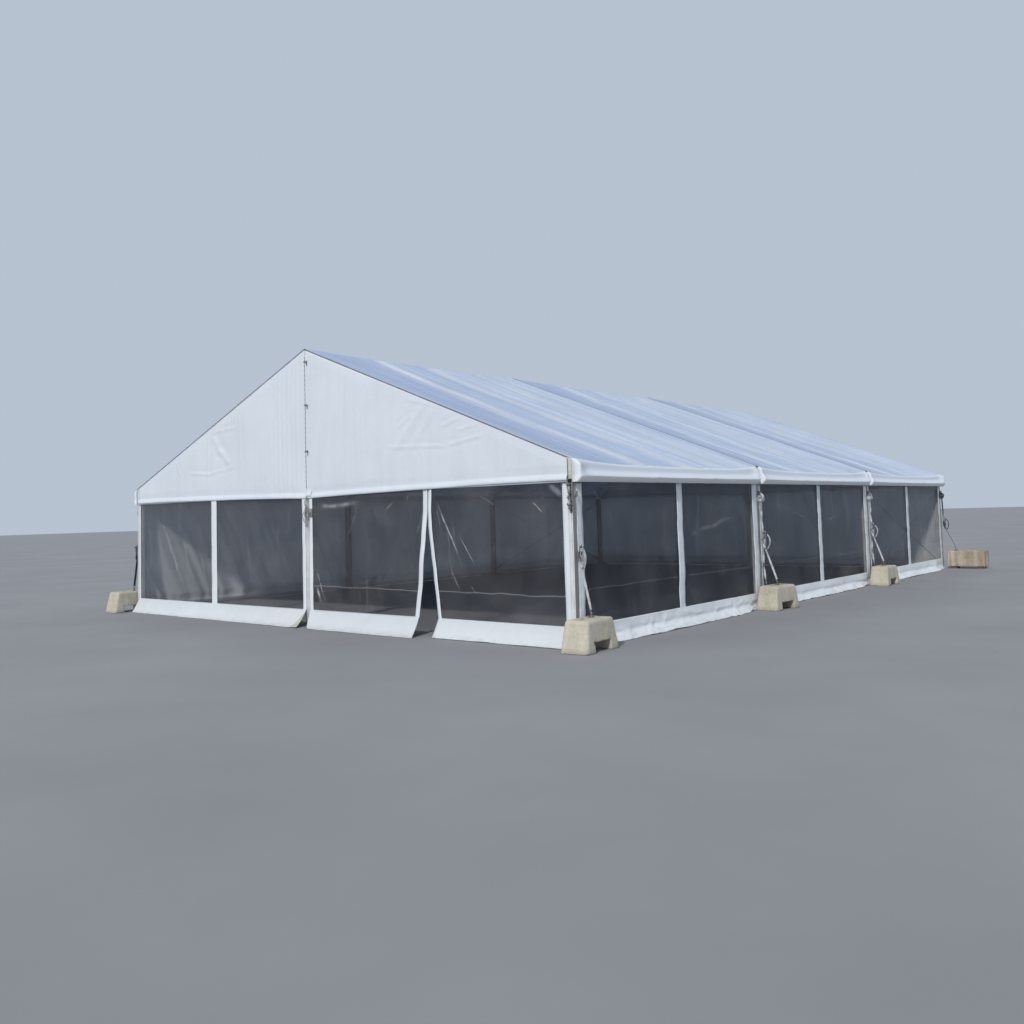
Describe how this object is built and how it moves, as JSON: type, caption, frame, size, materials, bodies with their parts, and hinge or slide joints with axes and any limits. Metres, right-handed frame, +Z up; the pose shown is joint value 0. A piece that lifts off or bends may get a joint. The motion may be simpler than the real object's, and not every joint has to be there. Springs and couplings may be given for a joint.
{
  "type": "marquee tent",
  "caption": "White PVC marquee tent on aluminium portal frames, with clear walls, front curtains that part and concrete ballast blocks strapped to its legs.",
  "frame": {"origin": "middle of the footprint, on the ground", "axes": "+X to the right along the front gable, +Y along the ridge away from the front gable, +Z up"},
  "size_m": [11.8, 15.9399, 4.24],
  "materials": {
    "aluminium": "satin",
    "steel_cable": "satin",
    "pvc": "semi-gloss",
    "clear_film": "gloss",
    "concrete": "matte",
    "stained_concrete": "matte",
    "strap_webbing": "matte"
  },
  "bodies": {
    "root": {"leg_left_1": "aluminium", "leg_left_2": "aluminium", "leg_left_3": "aluminium", "leg_left_4": "aluminium", "leg_right_1": "aluminium", "leg_right_2": "aluminium", "leg_right_3": "aluminium", "leg_right_4": "aluminium", "rafters_1": "aluminium", "rafters_2": "aluminium", "rafters_3": "aluminium", "rafters_4": "aluminium", "ridge_purlin": "aluminium", "eave_beam_left": "aluminium", "eave_beam_right": "aluminium", "gable_frame_front": "aluminium", "gable_frame_back": "aluminium", "wind_brace_left": "steel_cable", "wind_brace_right": "steel_cable", "roof_sheet_1": "pvc", "roof_sheet_2": "pvc", "roof_sheet_3": "pvc", "gable_sheet_front_left": "pvc", "gable_sheet_front_right": "pvc", "gable_sheet_back_left": "pvc", "gable_sheet_back_right": "pvc", "wall_left_1": "pvc", "wall_left_2": "pvc", "wall_left_3": "pvc", "wall_right_1": "pvc", "wall_right_2": "pvc", "wall_right_3": "pvc", "wall_front_left": "pvc", "wall_back_left": "pvc", "wall_back_right": "pvc", "curtain_left": "pvc", "curtain_right": "pvc", "window_right_1": "clear_film", "window_right_2": "clear_film", "window_right_3": "clear_film", "window_front_left": "clear_film", "curtain_window_left": "clear_film", "curtain_window_right": "clear_film", "ballast_left_1": "concrete", "ballast_left_2": "concrete", "ballast_left_3": "concrete", "ballast_left_4": "stained_concrete", "ballast_right_1": "concrete", "ballast_right_2": "concrete", "ballast_right_3": "concrete", "ballast_right_4": "stained_concrete", "strap_left_1": "strap_webbing", "strap_left_2": "strap_webbing", "strap_left_3": "strap_webbing", "strap_left_4": "strap_webbing", "strap_right_1": "strap_webbing", "strap_right_2": "strap_webbing", "strap_right_3": "strap_webbing", "strap_right_4": "strap_webbing"}
  },
  "joints": []
}
